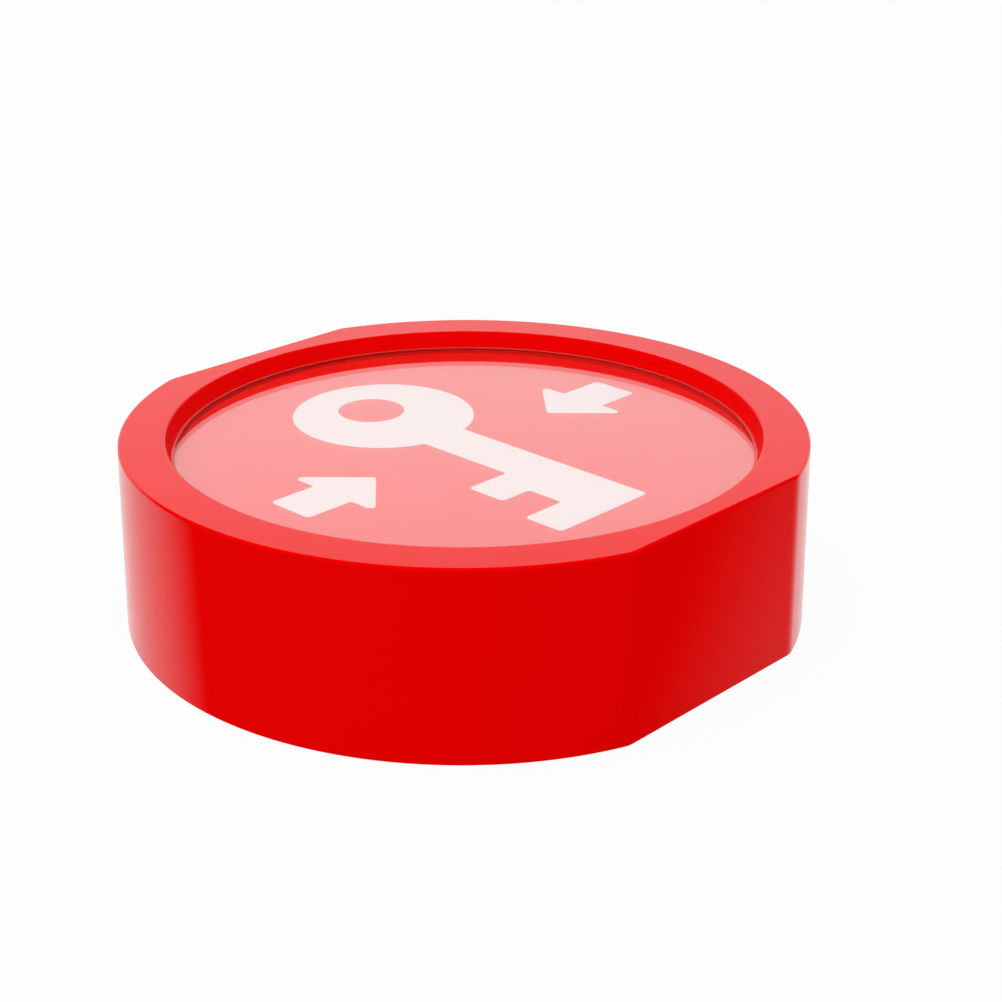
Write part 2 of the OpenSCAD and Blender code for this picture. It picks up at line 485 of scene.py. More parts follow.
def outline(corners: Sequence[tuple[float, ...]], steps: int = 6) -> list[Vector]:
    """A closed outline with rounded corners.

    Args:
        corners: (x, y) or (x, y, radius) of each corner.
        steps: Number of segments on each rounding.

    Returns:
        The outline's points in order.
    """
    places = [Vector(corner[:2]) for corner in corners]
    radii = [corner[2] if len(corner) > 2 else 0.0 for corner in corners]
    count = len(corners)
    return [point for i in range(count)
            for point in fillet(places[i - 1], places[i], places[(i + 1) % count], radii[i], steps)]


def rectangle(left: float, right: float, low: float, high: float, edge: float = 0.0,
              steps: int = 6) -> list[Vector]:
    """Outline of a rectangle whose corners are rounded by `edge` in so many steps."""
    return outline([(left, low, edge), (right, low, edge), (right, high, edge), (left, high, edge)], steps)


def mirrored(half: Sequence[tuple[float, ...]]) -> list[tuple[float, ...]]:
    """Corners of a shape that is even about x = 0, from its right half, whose first lies on x = 0."""
    return [*half, *((-x, *rest) for x, *rest in reversed(half[1:]))]


def arc(x: float, radius: float, first: float, sweep: float, steps: int, ends: int = 1) -> list[Vector]:
    """Points of an arc about (x, 0); `ends` is 0 for a full circle, whose last point is its first."""
    angles = [first + sweep * i / steps for i in range(steps + ends)]
    return [Vector((x + radius * math.cos(a), radius * math.sin(a))) for a in angles]


def slab(name: str, outlines: Sequence[Sequence[Vector]], low: float, high: float,
         matrix: Matrix | None = None) -> Piece:
    """A flat solid with vertical sides.

    Args:
        name: The object's name.
        outlines: The outer outline, and the outlines of any holes in it.
        low: Height of its underside.
        high: Height of its top.
        matrix: Turns and moves the solid.

    Returns:
        The solid, at the origin.
    """
    work = bmesh.new()
    for points in outlines:
        loop = [work.verts.new((point.x * MM, point.y * MM, low * MM)) for point in points]
        for i, vertex in enumerate(loop):
            work.edges.new((loop[i - 1], vertex))
    bmesh.ops.triangle_fill(work, use_beauty=True, edges=work.edges[:])
    grown = bmesh.ops.extrude_face_region(work, geom=work.faces[:])
    top = [item for item in grown["geom"] if isinstance(item, bmesh.types.BMVert)]
    bmesh.ops.translate(work, verts=top, vec=(0, 0, (high - low) * MM))
    bmesh.ops.recalc_face_normals(work, faces=work.faces)
    mesh = bpy.data.meshes.new(name)
    work.to_mesh(mesh)
    work.free()
    return link(name, moved(mesh, matrix))


def moved(mesh: bpy.types.Mesh, matrix: Matrix | None) -> bpy.types.Mesh:
    """Turns and moves a mesh.

    Args:
        mesh: The mesh.
        matrix: The turn, and the shift in millimetres.

    Returns:
        The same mesh.
    """
    if matrix:
        mesh.transform(Matrix.Translation(matrix.to_translation() * MM) @ matrix.to_3x3().to_4x4())
    return mesh


class Corner(NamedTuple):
    """A corner of a turned profile, which may also be written as a plain tuple.

    Attributes:
        r: Distance from the axis.
        z: Height.
        radius: Radius of its rounding, 0 for a sharp corner.
        flat: Whether the two flats of the case cut it.
        relief: Share of the relief that is pressed in here, from 0 to 1.
    """

    r: float
    z: float
    radius: float = 0.0
    flat: bool = False
    relief: float = 0.0


def relief_run(radius: float, start: float, end: float, count: int, fade: int) -> list[Corner]:
    """Profile points of a band of relief.

    Args:
        radius: Radius over the relief.
        start: Height at which it starts.
        end: Height at which it ends.
        count: Number of steps from one to the other.
        fade: Number of steps over which it fades out at each end.

    Returns:
        The points in order.
    """
    return [Corner(radius, start + (end - start) * i / count,
                   relief=min(1.0, i / fade, (count - i) / fade)) for i in range(count + 1)]


def thread_run(radius: float, start: float, end: float, pitch: float) -> list[Corner]:
    """Profile points of a thread, close enough to show its groove; it fades out over one turn."""
    count = max(round(abs(end - start) / pitch * TURN_STEPS), 2)
    return relief_run(radius, start, end, count, TURN_STEPS)


class TurningLathe:
    """Turns profiles about the Z axis, with flats, threads and knurls, by one Geometry Nodes tree.

    GROOVE, STRAY and PLACE are the steps that work out the relief, an uneven edge and a point's place.
    A step has its result's name, its operation and its terms, which are numbers or earlier results.
    """

    ARC_STEPS = 5
    POLE_MERGE = 0.001
    WANDER_SCALE, WANDER_DETAIL = 9.0, 4.0
    INPUTS = {
        "Profile": "Geometry", "Columns": "Int", "Corner softness": "Float", "Relief depth": "Float",
        "Relief pitch": "Float", "Relief starts": "Int", "Crossed relief": "Bool", "Wander": "Float",
        "Finish": "Material"}
    GROOVE = (
        ("around", "MULTIPLY", "turn", "Relief starts"), ("along", "DIVIDE", "height", "Relief pitch"),
        ("rising", "SUBTRACT", "around", "along"), ("groove", "PINGPONG", "rising", 0.5),
        ("falling", "ADD", "around", "along"), ("crossing", "PINGPONG", "falling", 0.5),
        ("crossing", "MULTIPLY", "crossing", "Crossed relief"),
        ("depth", "MAXIMUM", "groove", "crossing"), ("depth", "MULTIPLY", "depth", "Relief depth"),
        ("depth", "MULTIPLY", "depth", "relief"), ("pressed", "SUBTRACT", "radius", "depth"),
        ("angle", "MULTIPLY", "turn", math.tau), ("cosine", "COSINE", "angle"),
        ("sine", "SINE", "angle"))
    STRAY = (
        ("drift", "SUBTRACT", "noise", 0.5), ("drift", "MULTIPLY", "drift", "Wander"),
        ("drift", "MULTIPLY", "drift", "relief"), ("reach", "ADD", "pressed", "drift"))
    PLACE = (
        ("across", "MULTIPLY", "reach", "cosine"), ("side", "SIGN", "across"),
        ("width", "ABSOLUTE", "across"), ("held", "SMOOTH_MIN", "width", "half", "Corner softness"),
        ("x", "MULTIPLY", "held", "side"), ("y", "MULTIPLY", "reach", "sine"))

    def __init__(self, flat_depth: float) -> None:
        """Builds the tree.

        Args:
            flat_depth: How far the flats lie inside the round outline.
        """
        self.flat_depth = flat_depth
        self.tree = bpy.data.node_groups.new("turned_form", "GeometryNodeTree")
        new_socket = self.tree.interface.new_socket
        self.sockets = {
            name: new_socket(name, in_out="INPUT", socket_type=f"NodeSocket{kind}").identifier
            for name, kind in self.INPUTS.items()}
        new_socket("Form", in_out="OUTPUT", socket_type="NodeSocketGeometry")
        self._fill()

    def _work_out(self, known: dict[Any, Socket], steps: Sequence[tuple[Any, ...]]) -> None:
        """Adds the sums of a list of steps, and their results to what is known.

        Args:
            known: Sockets by name.
            steps: The steps.
        """
        for name, operation, *terms in steps:
            inputs = {i: known.get(term, term) for i, term in enumerate(terms)}
            known[name] = add(self.tree, "ShaderNodeMath", inputs, operation=operation).outputs[0]

    def _fill(self) -> None:
        """Adds the tree's nodes: sweep the profile round a circle, then put each point in its place."""
        tree = self.tree
        given = add(tree, "NodeGroupInput").outputs
        round_path = add(tree, "GeometryNodeCurvePrimitiveCircle", {"Resolution": given["Columns"]})
        turned = add(tree, "GeometryNodeStoreNamedAttribute", {
            "Geometry": round_path.outputs["Curve"], "Name": "turn",
            "Value": add(tree, "GeometryNodeSplineParameter").outputs["Factor"]}, data_type="FLOAT")
        profile = add(tree, "GeometryNodeMeshToCurve", {"Mesh": given["Profile"]})
        swept = add(tree, "GeometryNodeCurveToMesh", {
            "Curve": turned.outputs["Geometry"], "Profile Curve": profile.outputs["Curve"]})
        known: dict[Any, Socket] = {name: given[name] for name in self.INPUTS}
        for name, kind in (("turn", "FLOAT"), ("relief", "FLOAT"), ("station", "FLOAT_VECTOR")):
            stored = add(tree, "GeometryNodeInputNamedAttribute", {"Name": name}, data_type=kind)
            known[name] = stored.outputs["Attribute"]
        parts = add(tree, "ShaderNodeSeparateXYZ", {0: known["station"]}).outputs
        known.update(radius=parts["X"], height=parts["Y"], half=parts["Z"])
        self._work_out(known, self.GROOVE)
        ring = add(tree, "ShaderNodeCombineXYZ", {0: known["cosine"], 1: known["sine"]})
        known["noise"] = add(tree, "ShaderNodeTexNoise", {
            "Vector": ring.outputs[0], "Scale": self.WANDER_SCALE,
            "Detail": self.WANDER_DETAIL}).outputs["Fac"]
        self._work_out(known, self.STRAY + self.PLACE)
        place = add(tree, "ShaderNodeCombineXYZ", {0: known["x"], 1: known["y"], 2: known["height"]})
        formed = add(tree, "GeometryNodeSetPosition", {
            "Geometry": swept.outputs["Mesh"], "Position": place.outputs[0]})
        poles = add(tree, "GeometryNodeMergeByDistance", {
            "Geometry": formed.outputs["Geometry"], "Distance": self.POLE_MERGE * MM})
        geometry = poles.outputs["Geometry"]
        for name in ("turn", "station", "relief"):
            geometry = add(tree, "GeometryNodeRemoveAttribute", {
                "Geometry": geometry, "Name": name}).outputs["Geometry"]
        real = add(tree, "GeometryNodeRealizeInstances", {"Geometry": geometry})
        coated = add(tree, "GeometryNodeSetMaterial", {
            "Geometry": real.outputs["Geometry"], "Material": given["Finish"]})
        add(tree, "NodeGroupOutput", {"Form": coated.outputs["Geometry"]})

    def _stations(self, corners: Sequence[Corner]) -> list[tuple[float, ...]]:
        """Rounds the corners of a profile.

        Args:
            corners: The corners in order.

        Returns:
            (r, z, half-width, relief) of each point.
        """
        places = [Vector(corner[:2]) for corner in corners]
        stations = []
        for i, corner in enumerate(corners):
            before, after = places[i - 1], places[(i + 1) % len(corners)]
            points = fillet(before, places[i], after, corner.radius, self.ARC_STEPS)
            if corner.radius:
                points.insert(0, points[0] + (before - places[i]).normalized() * GUARD)
                points.append(points[-1] + (after - places[i]).normalized() * GUARD)
            for point in points:
                half = point.x - self.flat_depth if corner.flat else ROUND
                stations.append((point.x, point.y, half, corner.relief))
        return stations

    def turn(self, name: str, profile: Sequence[tuple[Any, ...]], finish: Material | None = None, *,
             columns: int = 96, softness: float = 0.0, relief: Relief = Relief.NONE, depth: float = 0.0,
             pitch: float = 1.0, wander: float = 0.0, matrix: Matrix | None = None) -> Piece:
        """Turns a profile to a solid.

        Args:
            name: The object's name.
            profile: Its corners; one that starts and ends on the axis is open, any other is a ring.
            finish: Its material.
            columns: Number of faces round the axis.
            softness: Rounding of the upright corners where the flats meet the round side.
            relief: Thread or knurl, pressed in where the corners say.
            depth: Depth of the relief.
            pitch: Height of one turn of the relief's groove.
            wander: How far an uneven edge strays from the circle.
            matrix: Turns and moves the solid.

        Returns:
            The solid as a plain mesh.
        """
        corners = [Corner(*corner) for corner in profile]
        is_open = corners[0].r == corners[-1].r == 0
        stations = self._stations(corners)
        count = len(stations)
        mesh = bpy.data.meshes.new(name)
        edges = [(i, (i + 1) % count) for i in range(count - is_open)]
        mesh.from_pydata([(r * MM, 0, z * MM) for r, z, _, _ in stations], edges, [])
        places = [value * MM for station in stations for value in station[:3]]
        mesh.attributes.new("station", "FLOAT_VECTOR", "POINT").data.foreach_set("vector", places)
        shares = [station[3] for station in stations]
        mesh.attributes.new("relief", "FLOAT", "POINT").data.foreach_set("value", shares)
        form = link(name, mesh)
        starts, crossed = relief.value
        step = form.modifiers.new("turning", "NODES")
        step.node_group = self.tree
        for socket, value in (
                ("Columns", columns), ("Corner softness", softness * MM),
                ("Relief depth", 2 * depth * MM), ("Relief pitch", pitch * MM / max(starts, 1)),
                ("Relief starts", starts), ("Crossed relief", crossed), ("Wander", wander * MM),
                ("Finish", finish)):
            step[self.sockets[socket]] = value
        settle(form)
        moved(form.data, matrix)
        return form

    def peg(self, name: str, radius: float, start: float, end: float,
            finish: Material | None = None, *, edges: tuple[float, float] = (0.0, 0.0),
            cones: tuple[float, float] = (0.0, 0.0), columns: int = 96,
            matrix: Matrix | None = None) -> Piece:
        """Turns a plain round solid.

        Args:
            name: The object's name.
            radius: Its radius.
            start: Height at which it starts.
            end: Height at which it ends.
            finish: Its material.
            edges: Roundings at its start and its end.
            cones: Heights of a cone at its start and its end.
            columns: Number of faces round it.
            matrix: Turns and moves the solid.

        Returns:
            The solid as a plain mesh.
        """
        profile = [(0, start), (radius, start + cones[0], edges[0]), (radius, end - cones[1], edges[1]),
                   (0, end)]
        return self.turn(name, profile, finish, columns=columns, matrix=matrix)


class CopyJig:
    """Sets copies of one solid on a list of places by a Geometry Nodes tree."""

    def __init__(self) -> None:
        """Builds the tree."""
        tree = self.tree = bpy.data.node_groups.new("placed_copies", "GeometryNodeTree")
        new_socket = tree.interface.new_socket
        self.sockets = {
            name: new_socket(name, in_out="INPUT", socket_type=f"NodeSocket{kind}").identifier
            for name, kind in (("Places", "Geometry"), ("Pattern", "Object"), ("Finish", "Material"))}
        new_socket("Copies", in_out="OUTPUT", socket_type="NodeSocketGeometry")
        given = add(tree, "NodeGroupInput").outputs
        pattern = add(tree, "GeometryNodeObjectInfo", {"Object": given["Pattern"]})
        turned = add(tree, "GeometryNodeInputNamedAttribute", {"Name": "turned"},
                     data_type="FLOAT_VECTOR")
        facing = add(tree, "FunctionNodeEulerToRotation", {"Euler": turned.outputs["Attribute"]})
        copies = add(tree, "GeometryNodeInstanceOnPoints", {
            "Points": given["Places"], "Instance": pattern.outputs["Geometry"],
            "Rotation": facing.outputs["Rotation"]})
        real = add(tree, "GeometryNodeRealizeInstances", {"Geometry": copies.outputs["Instances"]})
        plain = add(tree, "GeometryNodeRemoveAttribute", {
            "Geometry": real.outputs["Geometry"], "Name": "turned"})
        coated = add(tree, "GeometryNodeSetMaterial", {
            "Geometry": plain.outputs["Geometry"], "Material": given["Finish"]})
        add(tree, "NodeGroupOutput", {"Copies": coated.outputs["Geometry"]})

    def repeat(self, name: str, pattern: Piece, places: Sequence[Sequence[float]],
               turns: Sequence[Sequence[float]] = (), finish: Material | None = None) -> Piece:
        """Sets a copy of a solid on each place.

        Args:
            name: The object's name.
            pattern: The solid; it is deleted afterwards.
            places: Position of each copy.
            turns: Turn of each copy in degrees; none leaves them as the pattern.
            finish: Their material.

        Returns:
            All copies as one plain mesh.
        """
        mesh = bpy.data.meshes.new(name)
        mesh.from_pydata([Vector(place) * MM for place in places], [], [])
        angles = [math.radians(angle) for turn in turns or [(0, 0, 0)] * len(places) for angle in turn]
        mesh.attributes.new("turned", "FLOAT_VECTOR", "POINT").data.foreach_set("vector", angles)
        copies = link(name, mesh)
        step = copies.modifiers.new("copies", "NODES")
        step.node_group = self.tree
        step[self.sockets["Pattern"]] = pattern
        step[self.sockets["Finish"]] = finish
        settle(copies)
        discard([pattern])
        return copies


def finish_piece(piece: Piece, material: Material, slot: Slot, body: Body,
                 nodes: Sequence[str] = ()) -> None:
    """Dresses a finished piece and hands it to the frame.

    Args:
        piece: The piece, with its place in its mesh.
        material: Its finish.
        slot: Its slot in the record; not used.
        body: The body that carries it.
        nodes: Nodes that it stands for.
    """
    mesh = piece.data
    mesh.materials.clear()
    mesh.materials.append(material)
    mesh.shade_smooth()
    mesh.set_sharp_from_angle(angle=SHARP_ANGLE)
    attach(piece, body.value)
    if nodes:
        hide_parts(*nodes)
    mesh.calc_loop_triangles()
    LOG.info("%s: %d triangles", piece.name, len(mesh.loop_triangles))


# Sub-assemblies


class Workshop:
    """The tools and the finishes that the sub-assemblies share."""

    def __init__(self) -> None:
        """Builds the trees and the shared finishes."""
        low, high = box_mm("front_cover")
        self.lathe = TurningLathe(((high.y - low.y) - (high.x - low.x)) / 2)
        self.jig = CopyJig()
        self.matt_abs = MATT_ABS.build()
        self.zinc = ZINC_PLATE.build()

    def pegs(self, name: str, places: Sequence[Sequence[float]], radius: float, start: float,
             end: float, **shape: Any) -> Piece:
        """Turns a peg as TurningLathe.peg does, and sets a copy of it on each place."""
        return self.jig.repeat(f"{name}s", self.lathe.peg(name, radius, start, end, **shape), places)

    def pan_screw(self, shank_r: float, length: float, pitch: float, head_r: float,
                  head_h: float) -> Piece:
        """A thread-forming pan-head screw with a cross recess, its head standing on z = 0.

        Args:
            shank_r: Radius over the thread.
            length: Length of the shank.
            pitch: Height of one turn of the thread.
            head_r: Radius of the head.
            head_h: Height of the head.

        Returns:
            The screw.
        """
        tip_r, tip_l, groove, neck = shank_r * 0.25, shank_r * 0.9, shank_r * 0.24, 0.3
        brow = (head_r * 0.97, head_h * 0.45, head_h * 0.3)
        crown = (head_r * 0.62, head_h, head_h * 0.5)
        thread = thread_run(shank_r, -neck, tip_l - length, pitch)
        profile = [(0, -length), (tip_r, -length, 0.05), *reversed(thread), (shank_r, 0.0),
                   (head_r, 0.0, head_h * 0.12), brow, crown, (0, head_h)]
        screw = self.lathe.turn("screw", profile, columns=72, relief=Relief.THREAD, depth=groove,
                                pitch=pitch)
        combine(screw, Cut.REMOVE, [self._cross_recess(head_r * 1.05, head_h)])
        return screw

    def _cross_recess(self, size: float, top: float) -> Piece:
        """The cutter of a cross recess: two crossed bars that taper downwards.

        Args:
            size: Length of each bar at the top.
            top: Height of the head's top.

        Returns:
            The cutter.
        """
        arm, width, spare, bottom, taper = size / 2, size * 0.11, 0.2, 0.35, 0.45
        quarter, plus = [(width, width), (width, arm), (-width, arm)], []
        for _ in range(4):
            plus += quarter
            quarter = [(-y, x) for x, y in quarter]
        cutter = slab("cross_cutter", [outline(plus)], top * bottom, top + spare)
        for vertex in cutter.data.vertices:
            if vertex.co.z < top * MM:
                vertex.co.xy *= taper
        return cutter


def towards_left_flat(node: str, x: float) -> Matrix:
    """Turns a solid made about Z so that it points at the left flat, from x at a node's height."""
    return Matrix.Translation((x, 0, middle_mm(node).z)) @ Matrix.Rotation(-math.pi / 2, 4, "Y")


@dataclass
class CoverAssembly:
    """The cover that lifts off: shell, seal, pane, card, retainer ring and their screws.

    Attributes:
        wall: Thickness of the side wall.
        draft: Lean of the side from back to front.
        front_edge: Rounding of the outer front edge.
        back_edge: Rounding of the outer back edge.
        corner_softness: Rounding of the upright corners beside the flats.
        opening_r: Radius of the opening at the front face.
        opening_edge: Rounding of the opening's edge.
        satin_from: Upright share of a face's normal below which the opening's wall is satin, in a lighter
            red that is painted light.
        lip_r: Radius of the opening at the back of the flange.
        lip_edge: Rounding of that edge.
        pane_play: Gap round the pane.
        seal_in_r: Inner radius of the seal, which shows past the flange.
        seal_wander: How far the seal's inner edge strays.
        card_gap: How far the card's printed face lies below the top of its solid.
        retainer_in_r: Inner radius of the retainer ring.
        screw_r: Radius over the thread of a retainer screw.
        screw_pitch: Pitch of its thread.
        pilot_r: Radius of the retainer screws' holes.
        slot_skin: Plastic left inside, outside and above the cored slots.
        boss_r: Radius of the lock's boss.
        lock_hole_r: Radius of the hole that the hex key goes through.
        lock_bevel: Bevel of that hole.
        tap_r: Radius over the insert's internal thread.
        columns: Number of faces round the shell.
    """

    shop: Workshop
    wall: float = 2.4
    draft: float = 0.5
    front_edge: float = 0.4
    back_edge: float = 0.2
    corner_softness: float = 0.45
    opening_r: float = 47.2
    opening_edge: float = 0.45
    satin_from: float = 0.8
    lip_r: float = 46.4
    lip_edge: float = 0.06
    pane_play: float = 0.2
    seal_in_r: float = 46.0
    seal_wander: float = 0.25
    card_gap: float = 0.04
    retainer_in_r: float = 45.0
    screw_r: float = 0.9
    screw_pitch: float = 0.8
    pilot_r: float = 0.95
    slot_skin: tuple[float, float, float] = (1.3, 1.5, 1.9)
    boss_r: float = 4.1
    lock_hole_r: float = 2.2
    lock_bevel: float = 0.25
    tap_r: float = 2.22
    columns: int = 1080

    def __post_init__(self) -> None:
        """Reads the sizes that the frame knows."""
        self.flat_x, self.case_r, self.case_d = box_mm("front_cover")[1]
        self.cavity_r = self.case_r - self.wall
        pane_low, pane_high = box_mm("glass_pane")
        self.pane_r, self.pane_z, self.pane_top = pane_high.x, pane_low.z, pane_high.z
        self.pocket_r = self.pane_r + self.pane_play
        self.flange_z = box_mm("pane_seal")[1].z
        self.card_z, self.card_top = (corner.z for corner in box_mm("label_card"))
        self.screw_names = [f"retainer_screw_{i}" for i in range(1, 5)]
        self.spots = spots_mm(self.screw_names)

    def build(self) -> None:
        """Builds every piece of the cover."""
        self.build_shell()
        self.build_pane()
        self.build_card()
        self.build_retainer()
        self.build_insert()

    def build_shell(self) -> None:
        """The moulded shell, with the lock's boss, the cored slots and the screws' pilot holes."""
        profile = [
            (self.case_r, 0, self.back_edge, FLAT),
            (self.case_r - self.draft, self.case_d, self.front_edge, FLAT),
            (self.opening_r, self.case_d, self.opening_edge), (self.lip_r, self.flange_z, self.lip_edge),
            (self.pocket_r, self.flange_z), (self.pocket_r, self.card_z),
            (self.cavity_r, self.card_z, 0, FLAT), (self.cavity_r, 0, self.back_edge, FLAT)]
        gloss = GLOSS_ABS.build()
        shell = self.shop.lathe.turn("front_cover_shell", profile, gloss, columns=self.columns,
                                     softness=self.corner_softness)
        combine(shell, Cut.JOIN, [self._boss()])
        combine(shell, Cut.REMOVE, [self._lock_hole(), self._cored_slots(), self._pilot_holes()])
        finish_piece(shell, gloss, Slot.COVER_ABS, Body.COVER, ["front_cover"])
        # The opening's wall gets the satin ABS, whose lighter red is painted light
        shell.data.materials.append(SATIN_ABS_PAINTED_LIGHT.build())
        for face in shell.data.polygons:
            middle = face.center / MM
            inside = middle.xy.length < self.opening_r + self.opening_edge
            if inside and middle.z > self.flange_z and face.normal.z < self.satin_from:
                face.material_index = 1

    def _boss(self) -> Piece:
        """The round boss behind the left flat."""
        inner = box_mm("lock_insert")[1].x
        return self.shop.lathe.peg("boss", self.boss_r, 0, self.flat_x - self.wall / 2 + inner,
                                   edges=(0.3, 0), matrix=towards_left_flat("lock_insert", inner))

    def _lock_hole(self) -> Piece:
        """The cutter of the lock's hole: the insert's seat, then the hex key's hole with a bevel.

        Returns:
            The cutter.
        """
        low, high = box_mm("lock_insert")
        seat_r = (high.y - low.y) / 2
        surface = self.flat_x - self.draft * middle_mm("lock_insert").z / self.case_d
        start = high.x + SPARE
        wall_at, out = start - low.x, start + surface
        hole, bevel = self.lock_hole_r, self.lock_bevel
        profile = [(0, 0), (seat_r, 0), (seat_r, wall_at), (hole, wall_at), (hole, out - bevel),
                   (hole + bevel * 3, out + bevel * 2), (0, out + bevel * 2)]
        return self.shop.lathe.turn("lock_hole", profile,
                                    matrix=towards_left_flat("lock_insert", start))

    def _cored_slots(self) -> Piece:
        """The cutters of the slots that keep the thick ring of the shell even.

        Returns:
            The cutters.
        """
        inside, outside, above = self.slot_skin
        span = math.radians(32)
        outer, inner = (arc(0, radius, 0, span, 24) for radius in (
            self.case_r - self.draft - outside, self.pocket_r + inside))
        slot = slab("slot", [outer + inner[::-1]], self.card_z - SPARE, self.case_d - above)
        return self.shop.jig.repeat("cored_slots", slot, [(0, 0, 0)] * 4,
                                    [(0, 0, start) for start in (55, 93, 235, 273)])

    def _pilot_holes(self) -> Piece:
        """The cutters of the retainer screws' pilot holes."""
        top = box_mm(self.screw_names[0])[1].z + 0.5
        return self.shop.pegs("pilot_hole", self.spots, self.pilot_r, self.card_z - SPARE, top,
                              cones=(0, 0.4), columns=48)

    def build_pane(self) -> None:
        """The pane and the seal above it."""
        lathe, glass, silicone = self.shop.lathe, SHEET_GLASS.build(), SILICONE_PAINTED_RED_LIGHT.build()
        pane = lathe.peg("glass_pane_sheet", self.pane_r, self.pane_top - SKIN, self.pane_z + SKIN, glass,
                         edges=(0.1, 0.1), columns=360)
        finish_piece(pane, glass, Slot.PANE_GLASS, Body.COVER, ["glass_pane"])
        low, high = self.pane_top, self.flange_z - SKIN
        profile = [(self.pane_r, low), (self.pane_r, high),
                   Corner(self.seal_in_r, high, 0.1, relief=1), Corner(self.seal_in_r, low, 0.1, relief=1)]
        # The seal's red base colour is painted light: the red faces that show through the clear silicone
        seal = lathe.turn("pane_seal_strip", profile, silicone, columns=720, wander=self.seal_wander)
        finish_piece(seal, silicone, Slot.CLEAR_SEAL, Body.COVER, ["pane_seal"])
        # The card is lit through both, which a path tracer can't do with their shadows on
        pane.visible_shadow = seal.visible_shadow = False

    def build_card(self) -> None:
        """The card and the white key that is printed on it."""
        low, high = self.card_z + SKIN, self.card_top - self.card_gap
        board = COATED_CARD.build()
        card = self.shop.lathe.peg("label_card_sheet", self.pane_r, high, low, board, edges=(0.05, 0),
                                   columns=360)
        finish_piece(card, board, Slot.PRINTED_CARD, Body.COVER, ["label_card"])
        finish_piece(KeyPrint(high).build(), SCREEN_INK.build(), Slot.PRINTED_CARD, Body.COVER)

    def build_retainer(self) -> None:
        """The retainer ring and its four screws."""
        low, high = box_mm("retainer_ring")
        top = high.z - SKIN
        profile = [(high.y, low.z, 0.2, FLAT), (high.y, top, 0.2, FLAT),
                   (self.retainer_in_r, top, 0.15), (self.retainer_in_r, low.z, 0.3)]
        ring = self.shop.lathe.turn("retainer_ring_frame", profile, self.shop.matt_abs, columns=720,
                                    softness=0.2)
        combine(ring, Cut.REMOVE, [self.shop.pegs(
            "hole", self.spots, self.pilot_r, low.z - SPARE, high.z + SPARE, columns=48)])
        finish_piece(ring, self.shop.matt_abs, Slot.INNER_ABS, Body.COVER, ["retainer_ring"])
        head_low, tip_high = box_mm(self.screw_names[0])
        screw = self.shop.pan_screw(self.screw_r, tip_high.z - low.z, self.screw_pitch,
                                    (tip_high.x - head_low.x) / 2, low.z - head_low.z)
        screws = self.shop.jig.repeat(
            "retainer_screws", screw, [(s.x, s.y, low.z) for s in self.spots],
            [(180, 0, 25 * i) for i in range(4)], self.shop.zinc)
        finish_piece(screws, self.shop.zinc, Slot.PLATED_STEEL, Body.COVER, self.screw_names)

    def build_insert(self) -> None:
        """The knurled brass insert with its internal thread."""
        low, high = box_mm("lock_insert")
        outer, length, pitch, brass = (high.y - low.y) / 2, high.x - low.x, 0.7, TURNED_BRASS.build()
        place, neck, mouth = towards_left_flat("lock_insert", high.x), outer - 0.25, self.tap_r + 0.08
        profile = [(0, 0), (neck, 0, 0.1), *relief_run(outer, 0.5, length - 0.5, 40, 3),
                   (neck, length, 0.1), (0, length)]
        insert = self.shop.lathe.turn(
            "lock_insert_knurled", profile, brass, columns=240, relief=Relief.KNURL, depth=0.22,
            pitch=math.tau * outer, matrix=place)
        profile = [(0, -SPARE), (mouth, -SPARE), (self.tap_r, 0.25),
                   *thread_run(self.tap_r, 0.3, length - 0.3, pitch),
                   (self.tap_r, length - 0.25), (mouth, length + SPARE), (0, length + SPARE)]
        tap = self.shop.lathe.turn("tap", profile, columns=72, relief=Relief.THREAD, depth=0.2,
                                   pitch=pitch, matrix=place)
        combine(insert, Cut.REMOVE, [tap])
        finish_piece(insert, brass, Slot.INSERT_BRASS, Body.COVER, ["lock_insert"])


